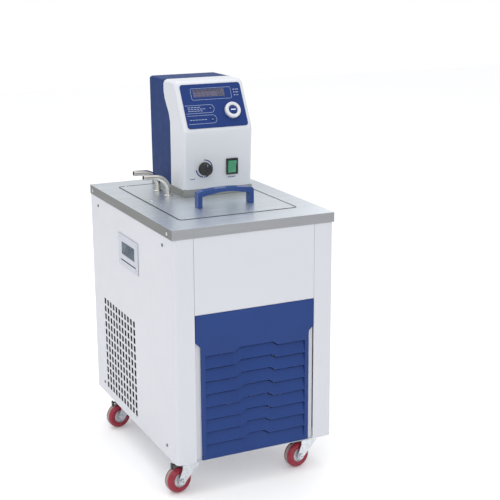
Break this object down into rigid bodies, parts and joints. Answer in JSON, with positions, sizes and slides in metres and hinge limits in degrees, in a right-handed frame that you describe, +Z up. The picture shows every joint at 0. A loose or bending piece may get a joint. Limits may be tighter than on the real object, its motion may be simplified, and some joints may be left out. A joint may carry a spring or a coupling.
{
  "type": "refrigerated water bath",
  "caption": "Floor-standing refrigerated circulating water bath: a castored cabinet with a lidded tank in its deck and a control head at the back.",
  "frame": {"origin": "on the floor, under the centre of the deck and the cabinet", "axes": "+X to the right seen from the front, +Y to the back, +Z up; the front with the grille faces -Y"},
  "size_m": [0.3406, 0.448, 0.723],
  "materials": {
    "white_paint": "fine-grained powder coat, satin",
    "stainless_steel": "brushed, with a fine grain along the length",
    "zinc_plate": "bright zinc plating on pressed sheet",
    "red_tread": "smooth, with a worn grey centre band",
    "blue_plastic": "moulded, satin",
    "blue_film": "printed membrane film",
    "navy_shell": "moulded, satin",
    "white_plastic": "moulded, fine texture",
    "black_plastic": "moulded, satin",
    "black_enamel": "black enamel over a drawn steel housing",
    "green_lens": "translucent green, polished",
    "silicone": "matt silicone seal",
    "foam": "rigid foam",
    "copper": "drawn copper tube, slightly dulled",
    "aluminium": "mill finish",
    "circuit_board": "green solder mask",
    "display_window": "dark display window"
  },
  "bodies": {
    "cabinet": {"castor_front_left_plate": "zinc_plate", "castor_front_right_plate": "zinc_plate", "castor_back_left_plate": "zinc_plate", "castor_back_right_plate": "zinc_plate", "base_pan": "white_paint", "inner_frame": "white_paint", "left_side_panel": "white_paint", "right_side_panel": "white_paint", "left_grip": "stainless_steel", "right_grip": "stainless_steel", "back_panel": "white_paint", "power_inlet": "black_plastic", "front_panel": "white_paint", "deck": "stainless_steel", "tank": "stainless_steel", "tank_insulation": "foam", "bridge_plate": "stainless_steel", "outlet_tube": "stainless_steel", "return_tube": "stainless_steel", "pump_motor": "aluminium", "pump_column": "stainless_steel", "heater_coil": "stainless_steel", "temperature_probe": "stainless_steel", "evaporator_coil": "copper", "compressor": "black_enamel", "condenser": "aluminium", "fan_shroud": "black_plastic", "fan_motor": "black_plastic", "head_plinth": "stainless_steel", "rear_shell": "navy_shell", "front_cover": "white_plastic", "membrane_panel": "blue_film", "display_module": "display_window", "control_board": "circuit_board", "switch_body": "black_plastic"},
    "castor_front_left_swivel": {"castor_front_left_fork": "zinc_plate", "castor_front_left_axle": "zinc_plate"},
    "castor_front_left_roller": {"castor_front_left_wheel": "red_tread"},
    "castor_front_right_swivel": {"castor_front_right_fork": "zinc_plate", "castor_front_right_axle": "zinc_plate"},
    "castor_front_right_roller": {"castor_front_right_wheel": "red_tread"},
    "castor_back_left_swivel": {"castor_back_left_fork": "zinc_plate", "castor_back_left_axle": "zinc_plate"},
    "castor_back_left_roller": {"castor_back_left_wheel": "red_tread"},
    "castor_back_right_swivel": {"castor_back_right_fork": "zinc_plate", "castor_back_right_axle": "zinc_plate"},
    "castor_back_right_roller": {"castor_back_right_wheel": "red_tread"},
    "lid": {"lid": "stainless_steel", "lid_gasket": "silicone", "lid_handle": "blue_plastic"},
    "grille": {"front_grille": "blue_plastic"},
    "jog_dial": {"jog_ring": "white_plastic"},
    "dial_button": {"jog_button": "blue_plastic"},
    "upper_key": {"key_upper": "blue_plastic"},
    "lower_key": {"key_lower": "blue_plastic"},
    "knob": {"speed_knob": "black_plastic"},
    "rocker": {"switch_rocker": "green_lens"},
    "pump_rotor": {"pump_shaft": "stainless_steel", "pump_impeller": "black_plastic"},
    "fan_rotor": {"fan_blade": "aluminium"}
  },
  "joints": [
    {"name": "castor_front_left_turn", "type": "hinge", "parent": "cabinet", "child": "castor_front_left_swivel", "pos_m": [-0.123, -0.186, 0.06], "axis": [0, 0, 1], "continuous": true},
    {"name": "castor_front_left_roll", "type": "hinge", "parent": "castor_front_left_swivel", "child": "castor_front_left_roller", "pos_m": [-0.14467, -0.18982, 0.025], "axis": [0.1736, -0.9848, 0], "continuous": true},
    {"name": "castor_front_right_turn", "type": "hinge", "parent": "cabinet", "child": "castor_front_right_swivel", "pos_m": [0.123, -0.186, 0.06], "axis": [0, 0, 1], "continuous": true},
    {"name": "castor_front_right_roll", "type": "hinge", "parent": "castor_front_right_swivel", "child": "castor_front_right_roller", "pos_m": [0.10133, -0.18982, 0.025], "axis": [0.1736, -0.9848, 0], "continuous": true},
    {"name": "castor_back_left_turn", "type": "hinge", "parent": "cabinet", "child": "castor_back_left_swivel", "pos_m": [-0.123, 0.145, 0.06], "axis": [0, 0, 1], "continuous": true},
    {"name": "castor_back_left_roll", "type": "hinge", "parent": "castor_back_left_swivel", "child": "castor_back_left_roller", "pos_m": [-0.14467, 0.14118, 0.025], "axis": [0.1736, -0.9848, 0], "continuous": true},
    {"name": "castor_back_right_turn", "type": "hinge", "parent": "cabinet", "child": "castor_back_right_swivel", "pos_m": [0.123, 0.145, 0.06], "axis": [0, 0, 1], "continuous": true},
    {"name": "castor_back_right_roll", "type": "hinge", "parent": "castor_back_right_swivel", "child": "castor_back_right_roller", "pos_m": [0.14467, 0.14118, 0.025], "axis": [0.1736, 0.9848, 0], "continuous": true},
    {"name": "lid_lift", "type": "slide", "parent": "cabinet", "child": "lid", "axis": [0, -0.342, 0.9397], "range_m": [0, 0.16]},
    {"name": "grille_pull", "type": "slide", "parent": "cabinet", "child": "grille", "axis": [0, -1, 0], "range_m": [0, 0.06]},
    {"name": "dial_turn", "type": "hinge", "parent": "cabinet", "child": "jog_dial", "pos_m": [0.0695, 0.02426, 0.66438], "axis": [0, -0.8829, 0.4695], "continuous": true},
    {"name": "dial_press", "type": "slide", "parent": "jog_dial", "child": "dial_button", "axis": [0, 0.8829, -0.4695], "range_m": [0, 0.0008], "stiffness_N_per_m": 400},
    {"name": "upper_key_press", "type": "slide", "parent": "cabinet", "child": "upper_key", "axis": [0, 0.8829, -0.4695], "range_m": [0, 0.0005], "stiffness_N_per_m": 300},
    {"name": "lower_key_press", "type": "slide", "parent": "cabinet", "child": "lower_key", "axis": [0, 0.8829, -0.4695], "range_m": [0, 0.0005], "stiffness_N_per_m": 300},
    {"name": "knob_turn", "type": "hinge", "parent": "cabinet", "child": "knob", "pos_m": [0.0045, 0.01047, 0.558], "axis": [0, 1, 0], "range_deg": [0, 270]},
    {"name": "rocker_tilt", "type": "hinge", "parent": "cabinet", "child": "rocker", "pos_m": [0.0625, 0.01359, 0.5585], "axis": [1, 0, 0], "range_deg": [-16, 0]},
    {"name": "pump_spin", "type": "hinge", "parent": "cabinet", "child": "pump_rotor", "pos_m": [0.0345, 0.118, 0.368], "axis": [0, 0, 1], "continuous": true},
    {"name": "fan_spin", "type": "hinge", "parent": "cabinet", "child": "fan_rotor", "pos_m": [0, -0.136, 0.195], "axis": [0, -1, 0], "continuous": true}
  ]
}
